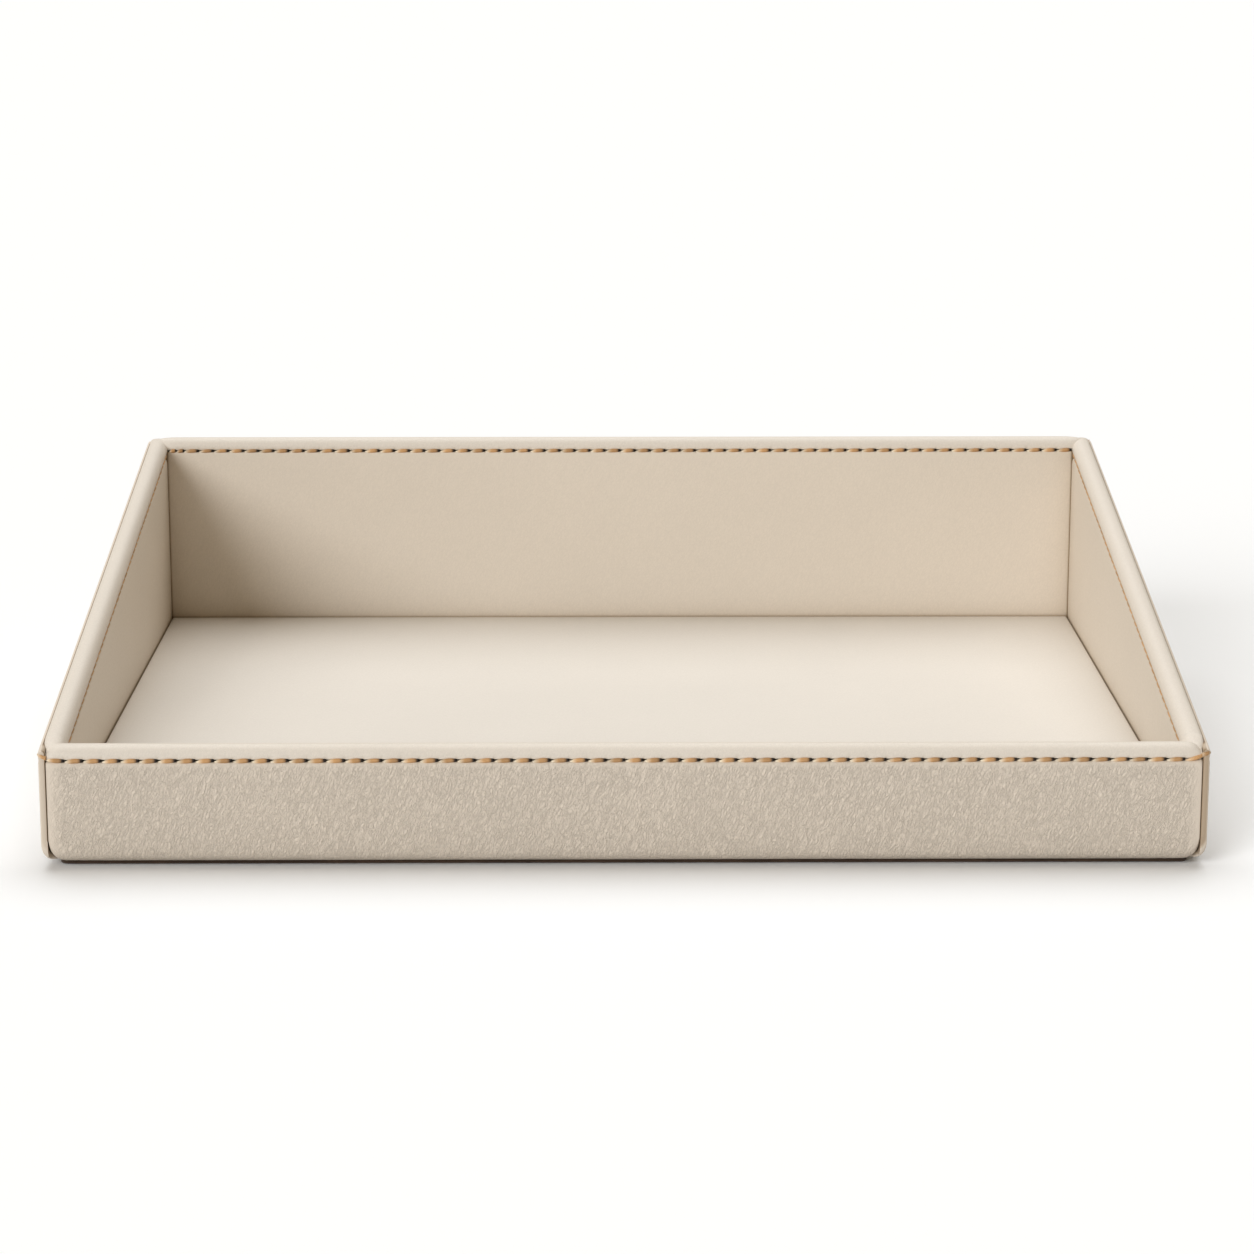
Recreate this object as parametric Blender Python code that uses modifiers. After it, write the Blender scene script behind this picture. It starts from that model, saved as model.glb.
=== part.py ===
"""Leather-covered display tray: low front, tall back, sloping sides and a flat floor.

Each wall is a board with a leather panel outside, a lining inside and a rolled
rim over its top edge. A row of saddle stitches closes the groove under each rim,
outside and inside. The floor is a leather-wrapped card on a base board, and the
tray stands on a thin suede base.

Metres, +Z up. The front faces -Y. The origin is the middle of the tray's outline,
on the surface that it stands on.
"""

import math

import bmesh
import bpy

# Overall size, with the leather on
WIDTH = 0.3140
DEPTH = 0.2470
FRONT_HEIGHT = 0.0342
BACK_HEIGHT = 0.0756
FLOOR_HEIGHT = 0.0152

# Layers of a wall, from the outside in, and the gap that glued layers keep
PANEL_LEATHER = 0.0016
WALL_BOARD = 0.0032
LINING_LEATHER = 0.0015
SEAT_GAP = 0.0003

# Rolled rim
RIM_LEATHER = 0.0014
SIDE_RIM_LEG = 0.0012
RIM_CORNER = 0.0030
SIDE_PANEL_DROP = 0.0013
BOARD_CORNER_CUT = 0.0100
LINING_CORNER = 0.0045

# Saddle stitching
STITCH_DROP = 0.0043
STITCH_PITCH = 0.0050
THREAD_DIAMETER = 0.0008
GROOVE_HEIGHT = 0.0014
GROOVE_DEPTH = 0.0012

# Underside
SUEDE_THICKNESS = 0.0014
SUEDE_INSET = 0.0050
SUEDE_CORNER = 0.0040
FLANGE_WIDTH = 0.0140
FLANGE_MITRE_GAP = 0.0005
PANEL_BEND = 0.0035
PANEL_CORNER = 0.0032

# Floor insert
FLOOR_LEATHER = 0.0010
FLOOR_CARD = 0.0020

# Softened leather edges, cutter overrun, and facets of a quarter round and of an edge
EDGE_SOFTNESS = 0.0005
OVERRUN = 0.0020
QUARTER_STEPS = 4
EDGE_STEPS = 2

# Edges that turn by more degrees than this are shaded sharp
SMOOTH_ANGLE = 40

# Depths of the layer boundaries, measured inward from the outer face of a wall
BOARD_OUTER = PANEL_LEATHER + SEAT_GAP
BOARD_INNER = BOARD_OUTER + WALL_BOARD
LINING_OUTER = BOARD_INNER + SEAT_GAP
WALL_THICKNESS = LINING_OUTER + LINING_LEATHER

# Heights above the surface that the tray stands on
PANEL_BOTTOM = SUEDE_THICKNESS + SEAT_GAP
BOARD_BOTTOM = PANEL_BOTTOM + PANEL_LEATHER + SEAT_GAP
FLOOR_CARD_TOP = FLOOR_HEIGHT - FLOOR_LEATHER - SEAT_GAP
FLOOR_CARD_BOTTOM = FLOOR_CARD_TOP - FLOOR_CARD
BASE_BOARD_TOP = FLOOR_CARD_BOTTOM - SEAT_GAP

# Outer radius of the floor leather where it turns down over the card's edge
FLOOR_BEND = FLOOR_LEATHER + SEAT_GAP

# Half lengths of the pieces along their walls
END_WALL_HALF = WIDTH / 2 - PANEL_LEATHER - SEAT_GAP
SIDE_WALL_HALF = DEPTH / 2 - WALL_THICKNESS - SEAT_GAP
BACK_RIM_HALF = WIDTH / 2 - WALL_THICKNESS - SEAT_GAP

# Depths of the rim's groove below the crest of a wall
RIM_LEG_DROP = STITCH_DROP - GROOVE_HEIGHT / 2
GROOVE_DROP = STITCH_DROP + GROOVE_HEIGHT / 2

# A wall's name, the axis that it faces, and the side of the origin that it lies on
WALLS = {"front": ("Y", -1), "back": ("Y", 1), "left": ("X", -1), "right": ("X", 1)}
END_WALLS = ("front", "back")
SIDE_WALLS = ("left", "right")

# Each finish's colour, as linear RGB, and roughness
FINISHES = {
    "grained_leather": ((0.585, 0.500, 0.400), 0.62),
    "rim_leather": ((0.720, 0.640, 0.540), 0.50),
    "lining_leather": ((0.640, 0.540, 0.420), 0.55),
    "floor_leather": ((0.700, 0.620, 0.510), 0.55),
    "hardboard": ((0.360, 0.270, 0.180), 0.85),
    "grey_card": ((0.300, 0.290, 0.270), 0.90),
    "brown_suede": ((0.070, 0.042, 0.026), 0.95),
    "tan_thread": ((0.480, 0.260, 0.110), 0.60),
}


def clear_scene():
    for old in list(bpy.data.objects):
        bpy.data.objects.remove(old, do_unlink=True)


def new_collection(name):
    collection = bpy.data.collections.new(name)
    bpy.context.scene.collection.children.link(collection)
    return collection


def make_finish(name):
    colour, roughness = FINISHES[name]
    material = bpy.data.materials.new(name)
    material.use_nodes = True
    shader = material.node_tree.nodes["Principled BSDF"]
    shader.inputs["Base Color"].default_value = (*colour, 1.0)
    shader.inputs["Roughness"].default_value = roughness
    shader.inputs["Metallic"].default_value = 0.0
    material.diffuse_color = (*colour, 1.0)
    return material


def place(wall, along, inward, up):
    """A point of a wall: along its length, inward from its outer face, and up."""
    axis, side = WALLS[wall]
    if axis == "Y":
        return along, side * (DEPTH / 2 - inward), up
    return side * (WIDTH / 2 - inward), along, up


def crest(wall, along):
    """Height of the top of a wall. A side rises evenly from the front to the back."""
    if wall == "front":
        return FRONT_HEIGHT
    if wall == "back":
        return BACK_HEIGHT
    rise = (along + DEPTH / 2) / DEPTH
    return FRONT_HEIGHT + rise * (BACK_HEIGHT - FRONT_HEIGHT)


def arc(centre, radii, start, end, steps):
    """Points on an ellipse's arc, with its angles in degrees."""
    turns = [math.radians(start + (end - start) * i / steps) for i in range(steps + 1)]
    return [
        (centre[0] + radii[0] * math.cos(turn), centre[1] + radii[1] * math.sin(turn))
        for turn in turns
    ]


def round_drop(distance, radius):
    """How far a rounded corner has fallen at a distance from its end."""
    short = max(radius - distance, 0.0)
    return radius - math.sqrt(radius * radius - short * short)


def round_stations(end, radius):
    """Places from an end inward where a rounded corner gets its facets."""
    step = math.pi / 2 / QUARTER_STEPS
    side = math.copysign(1, end)
    return [
        end - side * radius * (1 - math.cos(step * i)) for i in range(QUARTER_STEPS + 1)
    ]


def solid(name, rings, collection, material=None):
    """One closed solid through rings that have the same number of points."""
    form = bmesh.new()
    loops = [[form.verts.new(point) for point in ring] for ring in rings]
    for low, high in zip(loops, loops[1:]):
        for i, corner in enumerate(low):
            after = (i + 1) % len(low)
            form.faces.new((corner, low[after], high[after], high[i]))
    form.faces.new(loops[0])
    form.faces.new(loops[-1])
    bmesh.ops.recalc_face_normals(form, faces=form.faces)
    mesh = bpy.data.meshes.new(name)
    form.to_mesh(mesh)
    form.free()
    mesh.shade_smooth()
    mesh.set_sharp_from_angle(angle=math.radians(SMOOTH_ANGLE))
    piece = bpy.data.objects.new(name, mesh)
    collection.objects.link(piece)
    if material:
        mesh.materials.append(material)
    else:
        piece.hide_render = True
        piece.display_type = "WIRE"
    return piece


def wall_solid(name, wall, section_at, stations, collection, material=None):
    """A solid that runs along a wall. section_at gives (inward, up) points."""
    rings = [
        [place(wall, along, inward, up) for inward, up in section_at(along)]
        for along in sorted(stations)
    ]
    return solid(name, rings, collection, material)


def boolean(piece, cutter, operation):
    cut = piece.modifiers.new(cutter.name, "BOOLEAN")
    cut.operation = operation
    cut.solver = "EXACT"
    cut.object = cutter


def soften(piece, width):
    bevel = piece.modifiers.new("soft_edges", "BEVEL")
    bevel.width = width
    bevel.segments = EDGE_STEPS
    bevel.limit_method = "ANGLE"
    bevel.harden_normals = False


def panel_section(top):
    """A panel that runs down its wall and turns under the tray. top is its upper edge."""
    low = PANEL_BOTTOM + PANEL_BEND
    inner_bend = PANEL_BEND - PANEL_LEATHER
    edge = (EDGE_SOFTNESS, top - EDGE_SOFTNESS)
    outer_face = arc(edge, (EDGE_SOFTNESS,) * 2, 90, 180, EDGE_STEPS)
    outer_bend = arc((PANEL_BEND, low), (PANEL_BEND,) * 2, 180, 270, QUARTER_STEPS)
    flange_tip = [
        (FLANGE_WIDTH, PANEL_BOTTOM),
        (FLANGE_WIDTH, PANEL_BOTTOM + PANEL_LEATHER),
    ]
    back_bend = arc((PANEL_BEND, low), (inner_bend,) * 2, 270, 180, QUARTER_STEPS)
    return outer_face + outer_bend + flange_tip + back_bend + [(PANEL_LEATHER, top)]


def panel_top(wall, along):
    if wall in END_WALLS:
        return crest(wall, along) - GROOVE_DROP
    return crest(wall, along) - SIDE_PANEL_DROP


def corner_outline(wall, half):
    """The panel seen square on, with round lower corners, as (along, up) points."""
    top = BACK_HEIGHT + OVERRUN
    low = PANEL_BOTTOM + PANEL_CORNER
    inset = half - PANEL_CORNER
    right = arc((inset, low), (PANEL_CORNER,) * 2, 0, -90, QUARTER_STEPS)
    left = arc((-inset, low), (PANEL_CORNER,) * 2, 270, 180, QUARTER_STEPS)
    return [(half, top)] + right + left + [(-half, top)]


def mitre_outline(half, set_back):
    """The panel seen from below, as (along, inward) points. Its flange is mitred.

    set_back is how far the panel's end lies inside the tray's own corner.
    """
    clear = PANEL_LEATHER + SEAT_GAP / 2
    inner = half + set_back - FLANGE_MITRE_GAP
    step = min(half, inner - clear)
    return [
        (half, -OVERRUN),
        (half, clear),
        (step, clear),
        (inner - FLANGE_WIDTH - OVERRUN, FLANGE_WIDTH + OVERRUN),
        (-inner + FLANGE_WIDTH + OVERRUN, FLANGE_WIDTH + OVERRUN),
        (-step, clear),
        (-half, clear),
        (-half, -OVERRUN),
    ]


def make_panel(wall, name, cutters, collection, material):
    half = END_WALL_HALF if wall in END_WALLS else DEPTH / 2
    set_back = WIDTH / 2 - END_WALL_HALF if wall in END_WALLS else 0.0
    panel = wall_solid(
        name,
        wall,
        lambda along: panel_section(panel_top(wall, along)),
        (-half, half),
        collection,
        material,
    )
    depths = (-OVERRUN, FLANGE_WIDTH + OVERRUN)
    corners = [
        [place(wall, along, inward, up) for along, up in corner_outline(wall, half)]
        for inward in depths
    ]
    heights = (0.0, BACK_HEIGHT + OVERRUN)
    mitres = [
        [place(wall, along, inward, up) for along, inward in mitre_outline(half, set_back)]
        for up in heights
    ]
    boolean(panel, solid(name + "_corners", corners, cutters), "INTERSECT")
    boolean(panel, solid(name + "_mitres", mitres, cutters), "INTERSECT")
    return panel


def groove_cutter(wall, half, cutters):
    """The stitching line that is pressed into the leather of the side panels."""

    def section_at(along):
        line = crest(wall, along) - STITCH_DROP
        low, high = line - GROOVE_HEIGHT / 2, line + GROOVE_HEIGHT / 2
        return [(-OVERRUN, low), (GROOVE_DEPTH, low), (GROOVE_DEPTH, high), (-OVERRUN, high)]

    return wall_solid(wall + "_groove", wall, section_at, (-half, half), cutters)


def board_section(wall, along):
    """A wall board with a round top. A side board is rebated for its rim's outer leg."""
    top = crest(wall, along) - RIM_LEATHER - SEAT_GAP
    low = BOARD_BOTTOM
    if wall in END_WALLS:
        from_end = END_WALL_HALF - abs(along)
        outer, shoulder = BOARD_OUTER, []
        top -= max(BOARD_CORNER_CUT - from_end, 0.0)
        low += round_drop(from_end, PANEL_CORNER)
    else:
        outer = BOARD_OUTER + SIDE_RIM_LEG + SEAT_GAP
        ledge = crest(wall, along) - RIM_LEG_DROP - SEAT_GAP
        shoulder = [(BOARD_OUTER, ledge), (outer, ledge)]
    bend = PANEL_BEND - BOARD_OUTER
    foot = arc((PANEL_BEND, low + bend), (bend,) * 2, 270, 180, QUARTER_STEPS)
    radius = (BOARD_INNER - outer) / 2
    crown = arc((outer + radius, top - radius), (radius,) * 2, 180, 0, 2 * QUARTER_STEPS)
    return [(BOARD_INNER, low)] + foot + shoulder + crown


def make_board(wall, name, collection, material):
    stations = {-SIDE_WALL_HALF, SIDE_WALL_HALF}
    if wall in END_WALLS:
        cut = END_WALL_HALF - BOARD_CORNER_CUT
        stations = {-cut, cut}
        stations.update(round_stations(-END_WALL_HALF, PANEL_CORNER))
        stations.update(round_stations(END_WALL_HALF, PANEL_CORNER))
    return wall_solid(
        name, wall, lambda along: board_section(wall, along), stations, collection, material
    )


def make_lining(wall, name, collection, material):
    """A lining stands on the base board. A side lining's rear top corner is round."""
    half = END_WALL_HALF if wall in END_WALLS else SIDE_WALL_HALF
    rounded = wall in SIDE_WALLS

    def section_at(along):
        top = crest(wall, along) - GROOVE_DROP
        if rounded:
            top -= round_drop(half - along, LINING_CORNER)
        low = BASE_BOARD_TOP + SEAT_GAP
        return [
            (LINING_OUTER, low),
            (WALL_THICKNESS, low),
            (WALL_THICKNESS, top),
            (LINING_OUTER, top),
        ]

    stations = [-half, half]
    if rounded:
        stations = [-half] + round_stations(half, LINING_CORNER)
    lining = wall_solid(name, wall, section_at, stations, collection, material)
    soften(lining, EDGE_SOFTNESS)
    return lining


def rim_ends(wall):
    """Where a rim starts and stops, and which of its ends are round and closed."""
    if wall == "front":
        return -END_WALL_HALF, END_WALL_HALF, (True, True)
    if wall == "back":
        return -BACK_RIM_HALF, BACK_RIM_HALF, (False, False)
    return -SIDE_WALL_HALF, DEPTH / 2, (False, True)


def make_rim(wall, name, cutters, collection, material):
    """A roll of leather over the top of a wall, cut out underneath for the board."""
    start, end, closed = rim_ends(wall)
    outer = 0.0 if wall in END_WALLS else BOARD_OUTER
    radius = (WALL_THICKNESS - outer) / 2

    def section_at(along):
        leg = crest(wall, along) - RIM_LEG_DROP
        drop = closed[0] * round_drop(along - start, RIM_CORNER)
        drop += closed[1] * round_drop(end - along, RIM_CORNER)
        squeeze = 1 - drop / RIM_LEG_DROP
        crown = arc(
            (outer + radius, RIM_LEG_DROP - radius), (radius,) * 2, 180, 0, 2 * QUARTER_STEPS
        )
        rolled = [(inward, leg + height * squeeze) for inward, height in crown]
        return [(outer, leg)] + rolled + [(WALL_THICKNESS, leg)]

    stations = {start, end}
    if closed[0]:
        stations.update(round_stations(start, RIM_CORNER))
    if closed[1]:
        stations.update(round_stations(end, RIM_CORNER))
    rim = wall_solid(name, wall, section_at, stations, collection, material)
    boolean(rim, rim_hollow(wall, start, end, cutters), "DIFFERENCE")
    return rim


def rim_hollow(wall, start, end, cutters):
    """The space for the board inside a rim, with the board's cut corners."""
    outer = PANEL_LEATHER if wall in END_WALLS else BOARD_OUTER + SIDE_RIM_LEG
    radius = (LINING_OUTER - outer) / 2
    if wall == "front":
        slope = END_WALL_HALF - BOARD_CORNER_CUT + SEAT_GAP
        foot = slope + RIM_LEG_DROP
        stations = (-foot, -slope, slope, foot)
    elif wall == "back":
        stations = (start - OVERRUN, end + OVERRUN)
    else:
        stations = (start - OVERRUN, SIDE_WALL_HALF + SEAT_GAP)

    def section_at(along):
        top = crest(wall, along) - RIM_LEATHER
        if wall == "front":
            top -= max(abs(along) - slope, 0.0)
        low = top - radius - RIM_LEG_DROP
        crown = arc((outer + radius, top - radius), (radius,) * 2, 180, 0, 2 * QUARTER_STEPS)
        return [(outer, low)] + crown + [(LINING_OUTER, low)]

    return wall_solid(wall + "_rim_hollow", wall, section_at, stations, cutters)


def thread_path(wall, face):
    """A row of stitches: it dips at each hole and rises over the leather between."""
    radius = THREAD_DIAMETER / 2
    if face == "outer":
        half = WIDTH / 2 - radius if wall in END_WALLS else DEPTH / 2 - GROOVE_DEPTH
        seam = END_WALL_HALF if wall in END_WALLS else half
        high = radius
        floor = BOARD_OUTER if wall in END_WALLS else GROOVE_DEPTH
        low = floor - SEAT_GAP - radius
    else:
        half = BACK_RIM_HALF if wall in END_WALLS else SIDE_WALL_HALF
        seam = half
        high = WALL_THICKNESS - radius
        low = BOARD_INNER + SEAT_GAP + radius
    stitches = round(2 * seam / STITCH_PITCH)
    pitch = 2 * seam / stitches
    route = [(-half, high)]
    for stitch in range(stitches):
        route.append((-seam + pitch * (stitch + 1 / 2), high))
        if stitch < stitches - 1:
            route.append((-seam + pitch * (stitch + 1), low))
    route.append((half, high))
    return [
        place(wall, along, inward, crest(wall, along) - STITCH_DROP) for along, inward in route
    ]


def make_thread(wall, face, collection, material):
    name = wall + "_" + face + "_thread"
    curve = bpy.data.curves.new(name, "CURVE")
    curve.dimensions = "3D"
    curve.bevel_depth = THREAD_DIAMETER / 2
    curve.bevel_resolution = 0
    curve.use_fill_caps = True
    path = thread_path(wall, face)
    row = curve.splines.new("POLY")
    row.points.add(len(path) - 1)
    for knot, point in zip(row.points, path):
        knot.co = (*point, 1.0)
    curve.materials.append(material)
    thread = bpy.data.objects.new(name, curve)
    collection.objects.link(thread)
    return thread


def rounded_rectangle(half_x, half_y, radius):
    """Outline of a plate with round corners, as (x, y) points."""
    corners = ((1, 1, 0), (-1, 1, 90), (-1, -1, 180), (1, -1, 270))
    outline = []
    for side_x, side_y, start in corners:
        centre = (side_x * (half_x - radius), side_y * (half_y - radius))
        outline += arc(centre, (radius,) * 2, start, start + 90, QUARTER_STEPS)
    return outline


def make_block(name, half_x, half_y, low, high, collection, material):
    """A flat board or card, from a cube."""
    form = bmesh.new()
    bmesh.ops.create_cube(form, size=1.0)
    bmesh.ops.scale(form, vec=(2 * half_x, 2 * half_y, high - low), verts=form.verts)
    bmesh.ops.translate(form, vec=(0, 0, (low + high) / 2), verts=form.verts)
    mesh = bpy.data.meshes.new(name)
    form.to_mesh(mesh)
    form.free()
    mesh.materials.append(material)
    block = bpy.data.objects.new(name, mesh)
    collection.objects.link(block)
    return block


def make_floor_leather(collection, material):
    """Leather drawn over the floor card, with its sides turned down round the card."""
    half_x, half_y = BACK_RIM_HALF, SIDE_WALL_HALF
    leather = make_block(
        "floor_leather", half_x, half_y, FLOOR_CARD_BOTTOM, FLOOR_HEIGHT, collection, material
    )
    form = bmesh.new()
    form.from_mesh(leather.data)
    underside = min(form.faces, key=lambda face: face.calc_center_median().z)
    bmesh.ops.delete(form, geom=[underside], context="FACES_ONLY")
    bmesh.ops.bevel(
        form,
        geom=[edge for edge in form.edges if not edge.is_boundary],
        offset=FLOOR_BEND,
        segments=QUARTER_STEPS,
        affect="EDGES",
        profile=0.5,
    )
    form.to_mesh(leather.data)
    form.free()
    shell = leather.modifiers.new("thickness", "SOLIDIFY")
    shell.thickness = FLOOR_LEATHER
    shell.offset = -1
    shell.use_even_offset = True
    return leather


def make_base(collection, board, card, suede):
    half_x = WIDTH / 2 - LINING_OUTER
    half_y = DEPTH / 2 - LINING_OUTER
    make_block("base_board", half_x, half_y, BOARD_BOTTOM, BASE_BOARD_TOP, collection, board)
    make_block(
        "levelling_card",
        WIDTH / 2 - FLANGE_WIDTH - SEAT_GAP,
        DEPTH / 2 - FLANGE_WIDTH - SEAT_GAP,
        PANEL_BOTTOM,
        PANEL_BOTTOM + PANEL_LEATHER,
        collection,
        card,
    )
    inset = FLOOR_LEATHER + SEAT_GAP
    make_block(
        "floor_card",
        BACK_RIM_HALF - inset,
        SIDE_WALL_HALF - inset,
        FLOOR_CARD_BOTTOM,
        FLOOR_CARD_TOP,
        collection,
        card,
    )
    outline = rounded_rectangle(WIDTH / 2 - SUEDE_INSET, DEPTH / 2 - SUEDE_INSET, SUEDE_CORNER)
    rings = [[(x, y, up) for x, y in outline] for up in (0.0, SUEDE_THICKNESS)]
    solid("suede_base", rings, collection, suede)


def build_tray():
    clear_scene()
    tray = new_collection("display_tray")
    cutters = new_collection("cutters")

    grained = make_finish("grained_leather")
    rim_leather = make_finish("rim_leather")
    lining_leather = make_finish("lining_leather")
    board = make_finish("hardboard")
    thread = make_finish("tan_thread")

    make_base(tray, board, make_finish("grey_card"), make_finish("brown_suede"))
    make_floor_leather(tray, make_finish("floor_leather"))
    for wall in WALLS:
        title = wall if wall in END_WALLS else wall + "_side"
        make_board(wall, title + "_board", tray, board)
        panel = make_panel(wall, title + "_panel", cutters, tray, grained)
        make_lining(wall, title + "_lining", tray, lining_leather)
        make_rim(wall, title + "_rim", cutters, tray, rim_leather)
        make_thread(wall, "outer", tray, thread)
        make_thread(wall, "inner", tray, thread)
        if wall in SIDE_WALLS:
            boolean(panel, groove_cutter(wall, DEPTH / 2 + OVERRUN, cutters), "DIFFERENCE")
    end_grooves = [groove_cutter(wall, WIDTH / 2 + OVERRUN, cutters) for wall in END_WALLS]
    for wall in SIDE_WALLS:
        for groove in end_grooves:
            boolean(bpy.data.objects[wall + "_side_panel"], groove, "DIFFERENCE")


build_tray()
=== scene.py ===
"""Looks of the leather-covered display tray: leathers, rolled rims, saddle stitching."""

import math

import bpy
import numpy as np
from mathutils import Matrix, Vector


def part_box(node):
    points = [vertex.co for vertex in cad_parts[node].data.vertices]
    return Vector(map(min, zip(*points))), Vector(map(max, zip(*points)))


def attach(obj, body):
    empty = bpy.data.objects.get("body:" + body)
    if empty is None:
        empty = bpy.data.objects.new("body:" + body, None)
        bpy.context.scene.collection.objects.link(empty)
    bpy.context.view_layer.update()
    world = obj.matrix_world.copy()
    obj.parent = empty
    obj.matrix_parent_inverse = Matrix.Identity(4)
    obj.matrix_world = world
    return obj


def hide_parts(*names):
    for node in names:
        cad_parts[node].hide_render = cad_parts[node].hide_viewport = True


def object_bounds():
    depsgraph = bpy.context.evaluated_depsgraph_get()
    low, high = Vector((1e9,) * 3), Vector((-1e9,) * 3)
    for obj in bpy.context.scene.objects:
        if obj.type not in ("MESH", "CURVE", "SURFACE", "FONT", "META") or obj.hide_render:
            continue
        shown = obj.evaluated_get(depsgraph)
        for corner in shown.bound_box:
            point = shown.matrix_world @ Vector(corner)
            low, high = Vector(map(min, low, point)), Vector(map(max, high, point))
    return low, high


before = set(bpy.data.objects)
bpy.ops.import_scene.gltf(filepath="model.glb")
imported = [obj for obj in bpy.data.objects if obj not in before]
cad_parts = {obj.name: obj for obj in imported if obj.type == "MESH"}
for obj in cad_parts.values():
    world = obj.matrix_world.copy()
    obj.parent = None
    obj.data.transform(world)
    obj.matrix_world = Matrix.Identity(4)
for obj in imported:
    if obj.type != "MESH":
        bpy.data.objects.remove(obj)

cad_low, cad_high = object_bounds()

# ------------------------------------------------------------------ base and cards
# The base board ties the four walls together, and two cards level it: one below,
# between the turned-in edges of the leather, and one above, under the floor leather.
# All are glued in and hidden, so they keep their CAD shapes.

BOARD_COLOUR = (0.360, 0.270, 0.180)
CARD_COLOUR = (0.300, 0.290, 0.270)
BOARD_FIBRE = 0.0012
CARD_FLECK = 0.0006


def new_finish(name):
    """An empty finish and its shader."""
    finish = bpy.data.materials.new(name)
    finish.use_nodes = True
    return finish, finish.node_tree.nodes["Principled BSDF"]


def step(finish, kind, inputs=None, **settings):
    """One node of a finish. Its inputs are set to values or joined to sockets."""
    made = finish.node_tree.nodes.new("ShaderNode" + kind)
    for key, value in settings.items():
        setattr(made, key, value)
    for key, value in (inputs or {}).items():
        if isinstance(value, bpy.types.NodeSocket):
            finish.node_tree.links.new(value, made.inputs[key])
        else:
            made.inputs[key].default_value = value
    return made


def join(finish, output, socket):
    finish.node_tree.links.new(output, socket)


def maths(finish, operation, first, second=0.0, third=0.0):
    """The result of one sum on sockets or numbers."""
    made = step(finish, "Math", {0: first, 1: second, 2: third}, operation=operation)
    return made.outputs[0]


def between(finish, value, low, high, start=0.0, end=1.0):
    """A value's place between two limits, eased at both, mapped on to start and end."""
    inputs = {"Value": value, "From Min": low, "From Max": high, "To Min": start, "To Max": end}
    return step(finish, "MapRange", inputs, interpolation_type="SMOOTHSTEP").outputs["Result"]


def tint(finish, colour, light):
    """A colour made lighter or darker by a factor."""
    made = step(finish, "VectorMath", {0: colour, "Scale": light}, operation="SCALE")
    return made.outputs["Vector"]


def pressed_fibre_finish(name, colour, fibre, contrast):
    """Pressed board or card: short fibres that lie every way, and a few dark flecks."""
    finish, shader = new_finish(name)
    place = step(finish, "TexCoord").outputs["Object"]
    drift = step(finish, "TexNoise", {"Vector": place, "Scale": 0.4 / fibre, "Detail": 3.0})
    inputs = {"Vector": place, "Scale": 1.0 / fibre, "Detail": 6.0, "Distortion": 2.0}
    fibres = step(finish, "TexNoise", inputs)
    flecks = step(finish, "TexVoronoi", {"Vector": place, "Scale": 0.5 / fibre})
    fleck = between(finish, flecks.outputs["Distance"], 0.04, 0.14, 0.75, 1.0)
    light = maths(finish, "MULTIPLY_ADD", fibres.outputs["Fac"], contrast, 1 - contrast / 2)
    cloud = maths(finish, "MULTIPLY_ADD", drift.outputs["Fac"], 0.2, 0.9)
    light = maths(finish, "MULTIPLY", light, maths(finish, "MULTIPLY", cloud, fleck))
    join(finish, tint(finish, colour, light), shader.inputs["Base Color"])
    height = maths(finish, "MULTIPLY", fibres.outputs["Fac"], 0.05 * fibre)
    bump = step(finish, "Bump", {"Height": height, "Distance": 1.0})
    join(finish, bump.outputs["Normal"], shader.inputs["Normal"])
    shader.inputs["Roughness"].default_value = 0.88
    return finish


hardboard = pressed_fibre_finish("hardboard", BOARD_COLOUR, BOARD_FIBRE, 0.5)
grey_card = pressed_fibre_finish("grey_card", CARD_COLOUR, CARD_FLECK, 0.3)
for card in ("levelling_card", "floor_card"):
    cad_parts[card].data.materials[0] = grey_card
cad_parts["base_board"].data.materials[0] = hardboard

# ------------------------------------------------------------------ wall boards
# Four hardboard walls with round tops, glued round the base board. The side boards
# slope from back to front. The leather hides them, so they keep their CAD shapes.

for board in ("front_board", "back_board", "left_side_board", "right_side_board"):
    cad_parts[board].data.materials[0] = hardboard

# ------------------------------------------------------------------ outer panels
# Thick pebble-grained leather glued to the outside of each wall, skived at its edges
# and turned under the tray, where the flanges meet in mitres. The side panels cover
# the ends of the front and back ones, and are grooved for their stitches.

HALF_WIDTH = cad_high.x
HALF_DEPTH = cad_high.y
FRONT_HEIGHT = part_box("front_rim")[1].z
BACK_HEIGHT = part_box("back_rim")[1].z
PANEL_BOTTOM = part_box("front_panel")[0].z
END_WALL_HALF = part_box("front_panel")[1].x

# A panel's sheet: its bend under the tray, its lower corners and its skived edges
PANEL_LEATHER = 0.0016
PANEL_BEND = 0.0035
PANEL_CORNERS = {"end": 0.0042, "side": 0.0034}
PANEL_EDGE = 0.0007
PANEL_BACK_EDGE = 0.0002
PANEL_CLOSE = -0.00008
FLANGE_WIDTH = 0.0140
MITRE_GAP = 0.0005
END_PANEL_DROP = 0.0042
SIDE_PANEL_DROP = 0.0013
SIDE_PANEL_REAR_CORNER = 0.0024
THINNEST = 0.00006

# A panel's end: the radius of its edge, and how deep and how far it is drawn in
PANEL_ENDS = {"end": (0.00025, 0.00022, 0.0030), "side": (0.0005, 0.00008, 0.0018)}

# How much thicker a side panel is at its ends, and over what length
WELT = 0.00026
WELT_LENGTH = 0.0030

# The stitching line, and the groove along it in a side panel
STITCH_DROP = 0.0040
GROOVE_LINE = STITCH_DROP - SIDE_PANEL_DROP
GROOVE_DEPTH = 0.0006
GROOVE_HALF = 0.00055
GROOVE_FADE = 0.0020
GROOVE_PULL = (0.85, 0.15)

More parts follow.
